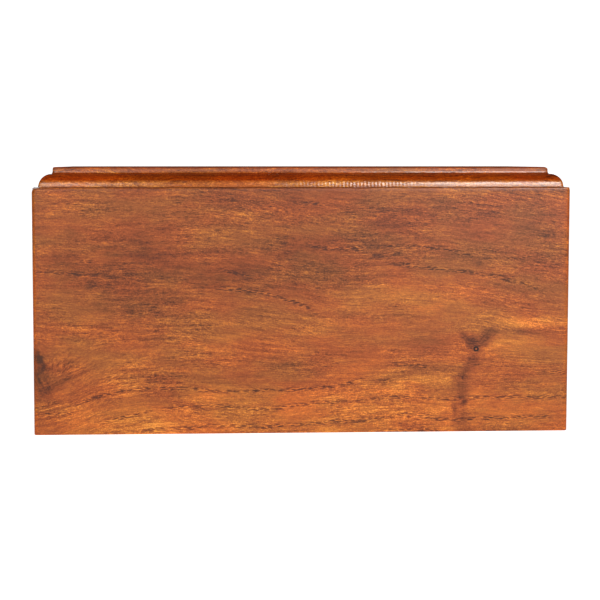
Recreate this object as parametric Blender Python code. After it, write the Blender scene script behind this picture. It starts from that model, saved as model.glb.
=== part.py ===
"""Cremation urn box in rosewood: four walls, a base board let in flush, and a moulded lid that lifts off.

The box stands on the ground with +Z up. Its origin is the middle of the underside, its width runs
along X and its front faces -Y. All sizes are in metres.
"""

import math

import bmesh
import bpy
from mathutils import Vector

# Overall body, without the lid
BODY_WIDTH = 0.292
BODY_DEPTH = 0.140
BODY_HEIGHT = 0.134

# Boards
WALL_THICKNESS = 0.012
BASE_THICKNESS = 0.009
REBATE_DEPTH = 0.005
JOINT_GAP = 0.0003

# Eased edges of the walls
UPRIGHT_ROUND = 0.0020
RIM_ROUND = 0.0012
FOOT_ROUND = 0.0005
BASE_CHAMFER = 0.0004

# Moulded edge of the lid, from its seat upwards
LID_SETBACK = 0.0030
LID_FILLET = 0.0006
OVOLO_RADIUS = 0.00635
OVOLO_LEDGE = 0.00095
TOP_STEP_HEIGHT = 0.00375
TOP_STEP_ROUND = 0.0010
LID_CORNER_ROUND = 0.0010

# Raised panel under the lid that drops between the walls
LOCATOR_DEPTH = 0.0050
LOCATOR_CLEARANCE = 0.0005
LOCATOR_CHAMFER = 0.0010

# Facets of the round stretches
UPRIGHT_SEGMENTS = 5
RIM_SEGMENTS = 4
FOOT_SEGMENTS = 2
OVOLO_SEGMENTS = 14
TOP_STEP_SEGMENTS = 4
CORNER_SEGMENTS = 3
SMOOTH_ANGLE = math.radians(35)
# How near a point must be to a plane to count as on it
ON_PLANE = 1e-5

# The space between the walls
INNER_WIDTH = BODY_WIDTH - 2 * WALL_THICKNESS
INNER_DEPTH = BODY_DEPTH - 2 * WALL_THICKNESS

# Colours of the lacquered boards, linear
FRONT_COLOUR = (0.40, 0.122, 0.048, 1)
BACK_COLOUR = (0.36, 0.110, 0.044, 1)
SIDE_COLOUR = (0.33, 0.098, 0.038, 1)
LID_COLOUR = (0.30, 0.078, 0.026, 1)
BASE_COLOUR = (0.28, 0.110, 0.055, 1)
LACQUER_ROUGHNESS = 0.32
BARE_ROUGHNESS = 0.60


def clear_scene():
    for obj in list(bpy.data.objects):
        bpy.data.objects.remove(obj, do_unlink=True)


def wood(name, colour, roughness):
    """A board's own material."""
    material = bpy.data.materials.new(name)
    material.use_nodes = True
    shader = material.node_tree.nodes["Principled BSDF"]
    shader.inputs["Base Color"].default_value = colour
    shader.inputs["Roughness"].default_value = roughness
    shader.inputs["Metallic"].default_value = 0.0
    return material


def object_from(bm, name, location, material):
    """Turns the finished bmesh into a named object at its place."""
    bmesh.ops.recalc_face_normals(bm, faces=bm.faces)
    mesh = bpy.data.meshes.new(name)
    bm.to_mesh(mesh)
    bm.free()
    mesh.shade_smooth()
    mesh.set_sharp_from_angle(angle=SMOOTH_ANGLE)
    obj = bpy.data.objects.new(name, mesh)
    obj.location = location
    obj.data.materials.append(material)
    bpy.context.scene.collection.objects.link(obj)
    return obj


def block(size):
    """A bmesh block of that size, centred on its own origin."""
    bm = bmesh.new()
    bmesh.ops.create_cube(bm, size=1)
    bmesh.ops.scale(bm, vec=Vector(size), verts=bm.verts)
    return bm


def faces_out(edge, outward, reach):
    """True if the edge's middle lies on one of the outward faces of a board with those half sizes."""
    middle = (edge.verts[0].co + edge.verts[1].co) / 2
    return any(abs(middle[axis] * sign - reach[axis]) < ON_PLANE for axis, sign in outward)


def on_level(edge, level):
    return all(abs(vert.co.z - level) < ON_PLANE for vert in edge.verts)


def round_edges(bm, edges, radius, segments):
    bmesh.ops.bevel(
        bm,
        geom=edges,
        offset=radius,
        offset_type="OFFSET",
        segments=segments,
        profile=0.5,
        affect="EDGES",
    )


def round_uprights(bm, size, outward):
    """Rounds the upright edges where two outward faces meet."""
    reach = [side / 2 for side in size]
    uprights = []
    for edge in bm.edges:
        corner = edge.verts[0].co
        upright = abs(corner.x - edge.verts[1].co.x) + abs(corner.y - edge.verts[1].co.y) < ON_PLANE
        faces_met = [axis for axis, sign in outward if abs(corner[axis] * sign - reach[axis]) < ON_PLANE]
        if upright and {0, 1} <= set(faces_met):
            uprights.append(edge)
    if uprights:
        round_edges(bm, uprights, UPRIGHT_ROUND, UPRIGHT_SEGMENTS)


def outline_edges(bm, size, outward, level):
    """The edges of one level that run along the outside of the board, round its rounded corners too."""
    reach = [side / 2 for side in size]
    found = []
    for edge in bm.edges:
        if not on_level(edge, level):
            continue
        first, second = (vert.co for vert in edge.verts)
        round_corner = abs(first.x - second.x) > ON_PLANE and abs(first.y - second.y) > ON_PLANE
        if round_corner or faces_out(edge, outward, reach):
            found.append(edge)
    return found


def wall(name, size, location, outward, material):
    """One wall board. outward lists its outside faces as (axis, sign); the others are joints or inside."""
    bm = block(size)
    round_uprights(bm, size, outward)
    top, bottom = size[2] / 2, -size[2] / 2
    round_edges(bm, outline_edges(bm, size, outward, top), RIM_ROUND, RIM_SEGMENTS)
    round_edges(bm, outline_edges(bm, size, outward, bottom), FOOT_ROUND, FOOT_SEGMENTS)
    return object_from(bm, name, location, material)


def rebate_cutter():
    """The block that cuts the base board's rebate into the foot of all four walls."""
    size = (
        INNER_WIDTH + 2 * REBATE_DEPTH,
        INNER_DEPTH + 2 * REBATE_DEPTH,
        2 * (BASE_THICKNESS + JOINT_GAP),
    )
    bm = block(size)
    cutter = object_from(bm, "rebate_cutter", (0, 0, 0), wood("cutter", BASE_COLOUR, BARE_ROUGHNESS))
    cutter.hide_render = True
    cutter.display_type = "WIRE"
    return cutter


def cut_rebate(board, cutter):
    modifier = board.modifiers.new("base_rebate", "BOOLEAN")
    modifier.operation = "DIFFERENCE"
    modifier.object = cutter


def long_walls(cutter):
    """Front and back boards, which run the full width and cover the ends of the side boards."""
    size = (BODY_WIDTH, WALL_THICKNESS, BODY_HEIGHT)
    centre_y = (BODY_DEPTH - WALL_THICKNESS) / 2
    for name, side, colour in (("front_board", -1, FRONT_COLOUR), ("back_board", 1, BACK_COLOUR)):
        outward = [(0, -1), (0, 1), (1, side)]
        location = (0, side * centre_y, BODY_HEIGHT / 2)
        board = wall(name, size, location, outward, wood(name, colour, LACQUER_ROUGHNESS))
        cut_rebate(board, cutter)


def side_walls(cutter):
    """Left and right boards, which butt between the front and back boards."""
    size = (WALL_THICKNESS, INNER_DEPTH - 2 * JOINT_GAP, BODY_HEIGHT)
    centre_x = (BODY_WIDTH - WALL_THICKNESS) / 2
    for name, side in (("left_side_board", -1), ("right_side_board", 1)):
        location = (side * centre_x, 0, BODY_HEIGHT / 2)
        material = wood(name, SIDE_COLOUR, LACQUER_ROUGHNESS)
        board = wall(name, size, location, [(0, side)], material)
        cut_rebate(board, cutter)


def base_board():
    """The base board, let into the rebate from below and flush with the feet of the walls."""
    size = (
        INNER_WIDTH + 2 * (REBATE_DEPTH - JOINT_GAP),
        INNER_DEPTH + 2 * (REBATE_DEPTH - JOINT_GAP),
        BASE_THICKNESS,
    )
    bm = block(size)
    lower = [edge for edge in bm.edges if on_level(edge, -size[2] / 2)]
    round_edges(bm, lower, BASE_CHAMFER, 1)
    return object_from(
        bm, "base_board", (0, 0, BASE_THICKNESS / 2), wood("base_board", BASE_COLOUR, BARE_ROUGHNESS)
    )


def arc(centre_inset, centre_height, radius, segments):
    """Points (inset, height) of a convex quarter round, from its outermost point up to its top."""
    points = []
    for step in range(segments + 1):
        turn = math.pi / 2 * step / segments
        points.append(
            (centre_inset - radius * math.cos(turn), centre_height + radius * math.sin(turn))
        )
    return points


def lid_profile():
    """The lid's edge as (inset from the body's outside, height above the rim), from below to the top.

    It starts under the raised locating panel, runs out over the seat and climbs the moulding."""
    seat = JOINT_GAP
    locator = WALL_THICKNESS + LOCATOR_CLEARANCE
    ovolo_foot = seat + LID_FILLET
    ledge = ovolo_foot + OVOLO_RADIUS
    ovolo_end = LID_SETBACK + OVOLO_RADIUS
    step = ovolo_end + OVOLO_LEDGE
    top = ledge + TOP_STEP_HEIGHT
    profile = [
        (locator + LOCATOR_CHAMFER, seat - LOCATOR_DEPTH),
        (locator, seat - LOCATOR_DEPTH + LOCATOR_CHAMFER),
        (locator, seat),
        (LID_SETBACK, seat),
    ]
    profile += arc(ovolo_end, ovolo_foot, OVOLO_RADIUS, OVOLO_SEGMENTS)
    profile.append((step, ledge))
    profile += arc(step + TOP_STEP_ROUND, top - TOP_STEP_ROUND, TOP_STEP_ROUND, TOP_STEP_SEGMENTS)
    return profile


def rounded_rectangle(half_width, half_depth, radius):
    """Corner points of a rectangle with rounded corners, anticlockwise from the +X +Y corner."""
    points = []
    for corner, (sign_x, sign_y) in enumerate(((1, 1), (-1, 1), (-1, -1), (1, -1))):
        for step in range(CORNER_SEGMENTS + 1):
            turn = math.pi / 2 * (corner + step / CORNER_SEGMENTS)
            points.append(
                (
                    sign_x * (half_width - radius) + radius * math.cos(turn),
                    sign_y * (half_depth - radius) + radius * math.sin(turn),
                )
            )
    return points


def grow_ring(bm, rim, inwards, upwards):
    """Extrudes the rim and moves the new one, each corner towards the middle by as much along X as along Y.

    A negative inwards widens it."""
    grown = bmesh.ops.extrude_edge_only(bm, edges=rim)["geom"]
    for vert in grown:
        if isinstance(vert, bmesh.types.BMVert):
            vert.co.x -= inwards * math.copysign(1, vert.co.x)
            vert.co.y -= inwards * math.copysign(1, vert.co.y)
            vert.co.z += upwards
    return [edge for edge in grown if isinstance(edge, bmesh.types.BMEdge) and edge.is_boundary]


def lid():
    """The lid: one board whose edge moulding runs round all four sides, with its locating panel below."""
    profile = lid_profile()
    inset, height = profile[0]
    outline = rounded_rectangle(BODY_WIDTH / 2 - inset, BODY_DEPTH / 2 - inset, LID_CORNER_ROUND)
    bm = bmesh.new()
    underside = bm.faces.new([bm.verts.new((x, y, height)) for x, y in outline])
    rim = list(underside.edges)
    for (inset, height), (next_inset, next_height) in zip(profile, profile[1:]):
        rim = grow_ring(bm, rim, next_inset - inset, next_height - height)
    bmesh.ops.contextual_create(bm, geom=rim)
    return object_from(
        bm, "lid", (0, 0, BODY_HEIGHT), wood("lid", LID_COLOUR, LACQUER_ROUGHNESS)
    )


def build():
    clear_scene()
    cutter = rebate_cutter()
    long_walls(cutter)
    side_walls(cutter)
    base_board()
    lid()


build()
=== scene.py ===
"""Finish of a lacquered rosewood urn box: the boards, the moulded lid and the studio around them.

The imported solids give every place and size. Each board is modelled again over its solid with its eased
edges, wear and wood figure. Objects are in metres; the wood figure is laid out in millimetres.
"""

import math
from collections import namedtuple

import bmesh
import bpy
from bpy.props import FloatProperty, FloatVectorProperty, IntProperty, PointerProperty
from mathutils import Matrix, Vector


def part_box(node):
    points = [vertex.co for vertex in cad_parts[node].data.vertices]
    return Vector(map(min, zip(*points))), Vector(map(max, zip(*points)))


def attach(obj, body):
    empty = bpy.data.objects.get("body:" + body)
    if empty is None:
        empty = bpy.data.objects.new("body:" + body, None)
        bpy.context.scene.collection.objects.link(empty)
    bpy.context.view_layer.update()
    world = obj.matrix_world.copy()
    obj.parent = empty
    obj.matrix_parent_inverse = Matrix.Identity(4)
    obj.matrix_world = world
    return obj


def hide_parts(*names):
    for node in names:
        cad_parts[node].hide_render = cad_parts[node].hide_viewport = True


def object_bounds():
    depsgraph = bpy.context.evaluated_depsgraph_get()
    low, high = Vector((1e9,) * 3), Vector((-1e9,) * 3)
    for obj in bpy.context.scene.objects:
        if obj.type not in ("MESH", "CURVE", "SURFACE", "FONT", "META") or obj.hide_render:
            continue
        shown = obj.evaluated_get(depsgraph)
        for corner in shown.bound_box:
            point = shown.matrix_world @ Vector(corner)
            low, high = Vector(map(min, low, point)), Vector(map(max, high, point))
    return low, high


bl_info = {
    "name": "Rosewood Urn Box",
    "version": (1, 0, 0),
    "blender": (4, 5, 0),
    "location": "View3D > Sidebar > Urn Box",
    "description": "Models the boards and the moulded lid of a rosewood urn box over its packed solids",
    "category": "Add Mesh",
}

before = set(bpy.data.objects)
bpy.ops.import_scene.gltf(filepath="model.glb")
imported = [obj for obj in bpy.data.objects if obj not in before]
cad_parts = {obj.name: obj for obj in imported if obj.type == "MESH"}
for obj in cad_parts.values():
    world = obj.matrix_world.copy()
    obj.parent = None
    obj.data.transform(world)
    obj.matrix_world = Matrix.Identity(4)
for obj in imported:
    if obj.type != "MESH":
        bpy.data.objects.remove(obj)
CAD_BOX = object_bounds()

BODY = "root"
MM = 0.001

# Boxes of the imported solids, which every piece is built over
FRONT_LOW, FRONT_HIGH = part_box("front_board")
BASE_LOW, BASE_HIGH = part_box("base_board")
LID_LOW, LID_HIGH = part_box("lid")
RIM = FRONT_HIGH.z
WALL = FRONT_HIGH.y - FRONT_LOW.y

# Sizes of the front in millimetres, which the wood figure is laid out on
BOARD_LENGTH_MM = round((FRONT_HIGH.x - FRONT_LOW.x) / MM, 3)
BOARD_HEIGHT_MM = round(RIM / MM, 3)
HALF_DEPTH_MM = round(-FRONT_LOW.y / MM, 3)
WALL_MM = round(WALL / MM, 3)
HALF_ROOM = (BOARD_LENGTH_MM / 2 - WALL_MM, HALF_DEPTH_MM - WALL_MM, BOARD_HEIGHT_MM)
ORIGIN = (0.0, 0.0, 0.0)

# How near a point must be to a plane to count as on it, and the clearance round a glued-in board
ON_PLANE = 2e-5
JOINT_GAP = 0.0003
SMOOTH_ANGLE = math.radians(38)

# Wood figure of the front board. Places are millimetres across the front: x from the middle, z from the
# ground. A pore line follows its points. A patch is a soft oval that darkens or brightens the wood by the
# natural logarithm that its strength gives.
PoreLine = namedtuple("PoreLine", "points strength")
Patch = namedtuple("Patch", "centre half_length half_height turn strength")
Knot = namedtuple("Knot", "centre eye reach lift")

FRONT_PORE_LINES = {
    "foot line": PoreLine(
        ((-89, 1.5), (-56, 4), (-21, 4), (5, 5.5), (43, 7.5), (54, 9.5), (84, 6.5), (104, 7.5), (137, 8)), 1.0
    ),
    "second line": PoreLine(
        (
            (-75, 14.5), (-45, 15), (-19, 13.5), (-3, 15.5), (20, 17),
            (54, 19.5), (80, 18.5), (114, 19), (146, 18.5),
        ),
        0.9,
    ),
    "third line": PoreLine(
        ((-124, 15.5), (-111, 21), (-89, 24.5), (-68, 25), (-43, 23.5), (-12, 24), (20, 26), (35, 30.5)), 1.0
    ),
    "corner rise": PoreLine(((-111, 6.5), (-101, 8.5), (-83, 13)), 1.0),
    "corner flat": PoreLine(((-143, 11.5), (-126, 12)), 0.6),
    "foot edge": PoreLine(((42, 1.2), (76, 1.5)), 0.8),
    "rim dash": PoreLine(((-4, 126), (14, 125)), 0.9),
    "upper line": PoreLine(((3, 103), (13, 101), (44, 102), (65, 101.5), (77, 100.5), (93, 96.5)), 1.0),
    "under upper line": PoreLine(((38, 96.5), (53, 98)), 0.9),
    "falling line": PoreLine(((47, 93), (70, 90), (98, 86.5), (116, 82.5), (131, 77.5)), 1.0),
    "middle line": PoreLine(((-47, 79.5), (-25, 77.5), (-13, 74.5), (5, 68)), 1.0),
    "short fall": PoreLine(((-45, 90), (-28, 86)), 0.8),
    "left line": PoreLine(((-142, 89), (-126, 88), (-110, 86.5)), 0.8),
    "left slash": PoreLine(((-121, 93.5), (-112, 95)), 0.7),
    "line left of trail": PoreLine(((48, 38), (60, 37), (73, 35)), 0.8),
    "dash under it": PoreLine(((42, 28.5), (52, 28.5)), 0.8),
    "right end dash": PoreLine(((131, 33), (146, 32.5)), 0.8),
    "line under knot": PoreLine(((90, 37), (106, 36)), 0.7),
}
FRONT_PATCHES = {
    "upper board": Patch((0, 112), 240, 54, 0, -0.25),
    "left cloud": Patch((-92, 86), 46, 34, 0, -0.27),
    "top of left cloud": Patch((-93, 102), 22, 8, -5, -0.24),
    "foot of left cloud": Patch((-84, 70), 22, 7, 6, -0.26),
    "low left cloud": Patch((-108, 71), 14, 6, 0, -0.24),
    "light by right end": Patch((131, 82), 17, 8, 0, 0.16),
    "middle cloud": Patch((-20, 88), 48, 16, -6, -0.20),
    "core of middle cloud": Patch((-28, 89), 13, 7, 0, -0.18),
    "light under middle cloud": Patch((-48, 48), 26, 11, 0, 0.14),
    "light above low line": Patch((-56, 14), 18, 7, 0, 0.16),
    "upper dark line": Patch((24, 105), 32, 4.5, 2, -0.34),
    "light at right foot": Patch((77, 3), 15, 5, 0, 0.32),
    "left of rim": Patch((-48, 128), 22, 7, 0, -0.14),
    "middle of rim": Patch((-16, 128), 27, 6, 0, -0.25),
    "right of rim": Patch((48, 123), 43, 13, 0, -0.10),
    "right cloud": Patch((95, 104), 15, 15, 0, -0.15),
    "right end": Patch((128, 100), 22, 34, 0, -0.20),
    "foot cloud": Patch((-8, 36), 30, 12, -8, -0.18),
    "cloud left of knot": Patch((67, 49), 19, 8, 0, -0.12),
    "right flame": Patch((64, 75), 64, 13, -3, 0.30),
    "low flame": Patch((28, 14), 84, 19, 2, 0.34),
    "foot flame": Patch((-86, 6), 44, 12, 0, 0.38),
    "corner flame": Patch((-122, 11), 15, 10, 15, 0.22),
    "left flame": Patch((-103, 30), 16, 8, 0, 0.20),
    "flame right of knot": Patch((113, 46), 22, 9, 6, 0.25),
    "right end seam": Patch((127, 60), 28, 4.0, 0, 0.74),
    "small flame by knot": Patch((82, 43), 8, 4, 0, 0.16),
    "flame under it": Patch((34, 33), 26, 10, 0, 0.12),
    "low right flame": Patch((112, 12), 44, 14, 0, 0.24),
    "bright dash": Patch((78, 29.5), 9, 1.3, -4, 0.50),
    "left wing of knot": Patch((90.2, 50.8), 8.5, 3.8, -48, -0.84),
    "middle prong of knot": Patch((93.2, 52), 1.8, 5.5, 6, -0.44),
    "right wing of knot": Patch((99.8, 51.6), 9, 4.6, 48, -0.84),
    "heart of knot": Patch((95.2, 47), 5.5, 3.4, 0, -0.34),
    "knot root": Patch((94.2, 41), 5.4, 5, 0, -0.52),
    "band under knot": Patch((90.6, 36), 8, 4, 58, -0.50),
    "upper trail": Patch((87.4, 26), 5.4, 13, 0, -0.60),
    "lower trail": Patch((86.6, 10), 6.2, 15, 3, -0.50),
    "left spot of trail": Patch((83.2, 13), 2.0, 4.0, 12, -0.45),
    "right spot of trail": Patch((88.9, 16.4), 2.3, 2.0, 35, -0.85),
    "end knot": Patch((-144, 34), 9.5, 18, 14, -0.80),
    "spike of end knot": Patch((-141.5, 40), 2.4, 9, 22, -0.75),
    "beside end knot": Patch((-128, 34), 10, 8, 0, -0.26),
    "over end knot": Patch((-134, 58), 17, 9, 0, -0.16),
    "left of left cloud": Patch((-112, 86), 12, 7, 0, -0.12),
    "under top of middle": Patch((-8, 103), 20, 8, 0, -0.22),
    "over right flame": Patch((16, 84), 22, 11, 0, -0.18),
    "short dark by rim": Patch((44, 116), 14, 6, 0, -0.26),
    "long dark by rim": Patch((80, 122), 34, 8, 0, -0.14),
    "between clouds": Patch((-54, 107), 19, 8, 0, 0.18),
    "under the corner rise": Patch((-96, 23), 14, 6, 0, 0.24),
    "along third line": Patch((-52, 23), 24, 6, 0, 0.26),
    "along left foot": Patch((-76, 3), 36, 6, 0, 0.40),
    "along second line": Patch((-32, 14), 22, 8, 0, 0.15),
    "left of trail": Patch((60, 27), 22, 6, 0, 0.22),
    "under second line": Patch((68, 11), 30, 8, 0, 0.12),
    "along middle foot": Patch((15, 2), 16, 4, 0, 0.22),
    "left over knot": Patch((78, 51), 10, 8, 0, -0.16),
    "left of middle cloud": Patch((-50, 84), 12, 12, 0, -0.14),
    "middle under flame": Patch((14, 43), 26, 8, 0, -0.15),
    "small bright": Patch((12, 61), 8, 9, 0, 0.16),
    "dark under seam": Patch((123, 55.2), 14, 2.2, 0, -0.40),
    "glow right of knot": Patch((104, 46.5), 9, 2.4, 22, 0.34),
    "left cloud of trail": Patch((83.6, 17.6), 1.2, 1.0, 0, -0.60),
    "dot of trail": Patch((87.6, 29.8), 0.7, 1.3, 0, -0.90),
    "black dash of trail": Patch((83.7, 12.6), 1.6, 0.8, 30, -0.50),
    "spot in left flame": Patch((-79.4, 56.8), 2.2, 1.0, 0, -0.60),
    "foot of end knot": Patch((-135, 26), 13, 4.2, 27, -0.55),
}
# Places where the grain turns, by the angle in degrees that patch.turn gives, and how strongly it shows
TURNED_GRAIN = {
    "ripples by end knot": Patch((-129, 38.5), 9, 9, 48, 1.5),
    "swirl in end knot": Patch((-140, 28), 8, 8, -62, 1.6),
    "left wing of knot": Patch((89, 51), 6, 6, -40, 1.1),
    "right wing of knot": Patch((101, 52), 7, 6, 48, 1.1),
    "upper trail": Patch((87.2, 27), 4, 9, 88, 1.1),
    "lower trail": Patch((86.2, 9), 5, 9, 80, 0.9),
    "curl in middle": Patch((-1, 84), 13, 11, -50, 0.9),
    "curl at right": Patch((110, 108), 17, 12, 25, 0.8),
    "ladder at right": Patch((130, 113), 6, 9, 62, 0.7),
    "small curl": Patch((24, 57), 9, 8, 55, 0.6),
}
FRONT_KNOTS = {
    "knot": Knot((95.0, 45.7), 1.40, 12, 0.45),
    "end knot": Knot((-149, 36), 2.0, 12, 0.40),
}
# Heights that two growth lines run at from left to right, near the foot and near the rim, millimetres, and
# the height that each is level with
GRAIN_NEAR_FOOT = (
    (-146, 13), (-124, 17), (-111, 21.5), (-89, 24.5), (-68, 25), (-12, 24), (35, 27), (60, 27), (146, 28),
)
GRAIN_NEAR_RIM = (
    (-146, 90), (-100, 89), (-45, 88), (-10, 84), (20, 80), (60, 80), (98, 77), (131, 72), (146, 70),
)
FOOT_LINE_LEVEL = 24
RIM_LINE_LEVEL = 82
# Heights between which the grain goes over from the one to the other
GRAIN_CHANGES = (20.0, 62.0)
# Dark strokes in the lid's wood near the front, as millimetres across and up: a squiggle and two nicks
LID_STROKES = {
    "squiggle": PoreLine(((130.4, 137.9), (132.3, 139.1), (135.6, 139.9), (140.6, 140.7)), 1.0),
    "second strand": PoreLine(((133.5, 138.4), (136.5, 139.2), (142.5, 140.0)), 0.8),
    "left nick": PoreLine(((69.5, 143.4), (72.5, 143.7)), 0.9),
    "right nick": PoreLine(((77.4, 143.6), (80.0, 144.0)), 0.9),
}
LID_CURVES_TOP = 150.0

# Natural logarithm of brightness that the colour ramp spans, evenly about the usual colour, and the two
# tints that the colour drifts between
TONE_SPAN = 2.2
REDDER = (1.04, 0.91, 0.90, 1.0)
BROWNER = (0.95, 1.07, 1.06, 1.0)
# How strongly each part of the figure, the pore lines and the turned grain show in the tone
GRAIN_SHOWS = 0.86
FIBRE_SHOWS = 2.5
SPECK_SHOWS = 1.5
PITS_SHOW = 1.3
PORES_SHOW = -0.36
DASHES_SHOW = -1.35
BAND_SHOWS = 0.16
TURNED_GRAIN_SHOWS = 1.6
# Millimetres that a sunk pore lies below the lacquer
PORE_DEPTH = 0.012

# Stretches that a finish fades over, millimetres: from where it is 0 to where it is full
RIM_POLISH = (BOARD_HEIGHT_MM - 0.9, BOARD_HEIGHT_MM - 0.5)
# Painted glow: the left and right edge stretches and the front face carry the glow along the front's upright
# edges
LEFT_EDGE_GLOW = (-BOARD_LENGTH_MM / 2 + 3.2, -BOARD_LENGTH_MM / 2 + 0.2)
RIGHT_EDGE_GLOW = (BOARD_LENGTH_MM / 2 - 4.8, BOARD_LENGTH_MM / 2 - 0.8)
FRONT_FACE = (-HALF_DEPTH_MM + 3.5, -HALF_DEPTH_MM + 1.0)
OVOLO_FOOT = (137.6, 136.2)
# Painted shade: the ovolo and step stretches darken the colour where the moulding turns upwards
OVOLO_PAINTED_SHADE = ((136.9, 138.4), (141.9, 141.5))
STEP_PAINTED_SHADE = ((144.1, 144.5), (144.995, 144.97))
LID_FLAT = (144.85, 144.98)
# The cutter's ripples: their spacing and depth, and the stretches of the ovolo that they fade over
RIPPLE_SPACING = 1.95
RIPPLE_DEPTH = 0.017
RIPPLES_ALONG = ((-34.0, 30.0), (92.0, 45.0))
RIPPLES_IN = (-55.0, -60.0)
RIPPLES_DOWN = (142.0, 141.0)


def a_length(name, description, default, least=0.0):
    return FloatProperty(name=name, description=description, default=default, min=least, unit="LENGTH")


def an_angle(name, description, degrees):
    return FloatProperty(name=name, description=description, default=math.radians(degrees), subtype="ANGLE")


def an_amount(name, description, default, least=0.0):
    return FloatProperty(name=name, description=description, default=default, min=least)


def a_colour(name, description, default):
    return FloatVectorProperty(
        name=name, description=description, default=default, size=3, min=0.0, max=1.0, subtype="COLOR"
    )


class UrnSizes(bpy.types.PropertyGroup):
    """Sizes of the edges and the wear that the finished pieces add to the solids."""

    upright_round: a_length("Upright round", "Radius of the four upright outer edges", 0.0020, 0.0002)
    rim_round: a_length("Rim round", "Radius of the outer edge round the top of the walls", 0.0004, 0.0001)
    rim_roll: a_length("Rim roll", "How far in sanding has rolled the walls' face at the rim", 0.00034)
    rim_roll_height: a_length("Rim roll height", "How far below the rim the roll starts", 0.0024, 0.0005)
    foot_round: a_length("Foot round", "Radius of the outer edge round the foot of the walls", 0.0005, 0.0001)
    base_chamfer: a_length("Base chamfer", "Chamfer round the underside of the base board", 0.0004, 0.0001)
    lid_setback: a_length("Lid setback", "How far the lid's moulding stands in from the walls", 0.0030)
    lid_fillet: a_length("Lid fillet", "Height of the upright fillet under the ovolo", 0.0003, 0.0001)
    ovolo_radius: a_length("Ovolo radius", "How far in the quarter round moulding goes", 0.00635, 0.001)
    ovolo_height: a_length("Ovolo height", "Height of the quarter round, sanded a little long", 0.00690, 0.001)
    lid_gap: a_length("Lid gap", "Seam between the rim and the lid", 0.00006, 0.00002)
    lid_shift: a_length("Lid shift", "How far to the right of the middle the lid was laid", 0.0004, -0.0030)
    ovolo_ledge: a_length("Ovolo ledge", "Flat between the ovolo and the top step", 0.00095)
    cove_height: a_length("Cove height", "Height of the cove that runs up the step's face", 0.0013, 0.0001)
    left_wear: a_length("Left wear", "How far sanding has worn the left end of the ovolo", 0.0002)
    right_wear: a_length("Right wear", "How far sanding has worn the right end of the lid", 0.0005)
    corner_wear: a_length("Corner wear", "How far the front's top left corner is worn down and in", 0.0013)
    step_round: a_length("Step round", "Radius of the top step's front edge", 0.0014, 0.0001)
    edge_wave: a_length("Edge wave", "How far the hand-sanded edges wander", 0.00016)
    chip_depth: a_length("Chip depth", "Depth of the small chips in the rim", 0.00045)
    cut_spacing: a_length("Cut spacing", "Distance between the cuts that let an edge wander", 0.0020, 0.0005)
    ovolo_segments: IntProperty(name="Ovolo segments", description="Facets round the ovolo", default=20, min=4)


class UrnColours(bpy.types.PropertyGroup):
    """Colours of the wood under its lacquer, and of the studio."""

    pore: a_colour("Pore", "Dark filler in the open pores", (0.085, 0.022, 0.007))
    brown: a_colour("Brown", "Dull brown heartwood", (0.205, 0.047, 0.009))
    middle: a_colour("Middle", "Usual colour of the walls", (0.362, 0.089, 0.018))
    bright: a_colour("Bright", "Bright orange figure", (0.600, 0.164, 0.023))
    flame: a_colour("Flame", "Lightest flecks", (0.920, 0.315, 0.045))
    # Painted shade on the upper part of the ovolo and along the top step's edge
    ovolo_painted_shade: a_colour("Ovolo painted shade", "Tint that deepens the lid's ovolo near its top", (0.84, 0.42, 0.10))
    # Painted glow of light on the front's rounded upright edges
    edge_painted_glow: a_colour("Edge painted glow", "Painted glow along the front's upright edges", (1.0, 0.78, 0.28))
    knot_ring: a_colour("Knot ring", "Tint of the knot's ring and of the lid's dark marks", (0.10, 0.13, 0.25))
    bare: a_colour("Bare wood", "Sanded wood inside the box", (0.330, 0.140, 0.070))
    floor: a_colour("Floor", "Studio floor and backdrop", (0.80, 0.80, 0.80))


class UrnStudio(bpy.types.PropertyGroup):
    """Camera and lights."""

    camera_place: FloatVectorProperty(
        name="Camera place", description="Where the camera stands", size=3, subtype="TRANSLATION",
        unit="LENGTH", default=(-0.0468, -0.9251, 0.1484),
    )
    camera_pitch: an_angle("Camera pitch", "How far the camera looks down", 5.03)
    camera_turn: an_angle("Camera turn", "How far the camera looks to the right", 3.026)
    lens: an_amount("Lens", "Focal length in millimetres on a 36 mm sensor", 95.0, 10.0)
    right_glow: an_amount("Right softbox", "Radiance of the right softbox", 6.3)
    left_glow: an_amount("Left softbox", "Radiance of the left softbox", 3.9)
    floor_glow: an_amount("Floor glow", "Light that the lit floor and backdrop give off", 0.60)
    ambient: an_amount("Ambient", "Light from the rest of the room", 0.025)


# Node wiring


def feed(tree, socket, value):
    """Links a value that is a socket and sets any other."""
    if isinstance(value, bpy.types.NodeSocket):
        tree.links.new(value, socket)
    else:
        socket.default_value = value


def add_node(tree, kind, values=None, **settings):
    """Adds a node with its settings and feeds its inputs."""
    node = tree.nodes.new(kind)
    for name, setting in settings.items():
        setattr(node, name, setting)
    for key, value in (values or {}).items():
        feed(tree, node.inputs[key], value)
    return node


def maths(tree, operation, *values, clamp=False):
    """The result of a Math node."""
    values = dict(enumerate(values))
    return add_node(tree, "ShaderNodeMath", values, operation=operation, use_clamp=clamp).outputs[0]


def product(tree, value, *others):
    for other in others:
        value = maths(tree, "MULTIPLY", value, other)
    return value


def add_share(tree, base, value, share):
    """The base with a share of the value added."""
    return maths(tree, "MULTIPLY_ADD", value, share, base)


def centred(tree, value):
    """Noise moved to lie evenly about zero."""
    return maths(tree, "SUBTRACT", value, 0.5)


def joined(tree, operation, first, second):
    """Both values joined by a Math node, or the second alone while the first is still None."""
    return second if first is None else maths(tree, operation, first, second)


def vector_maths(tree, operation, *values):
    """The result of a Vector Math node, a number for LENGTH."""
    node = add_node(tree, "ShaderNodeVectorMath", dict(enumerate(values)), operation=operation)
    return node.outputs[1 if operation == "LENGTH" else 0]


def scaled(tree, vector, scale):
    return vector_maths(tree, "MULTIPLY", vector, scale)


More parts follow.
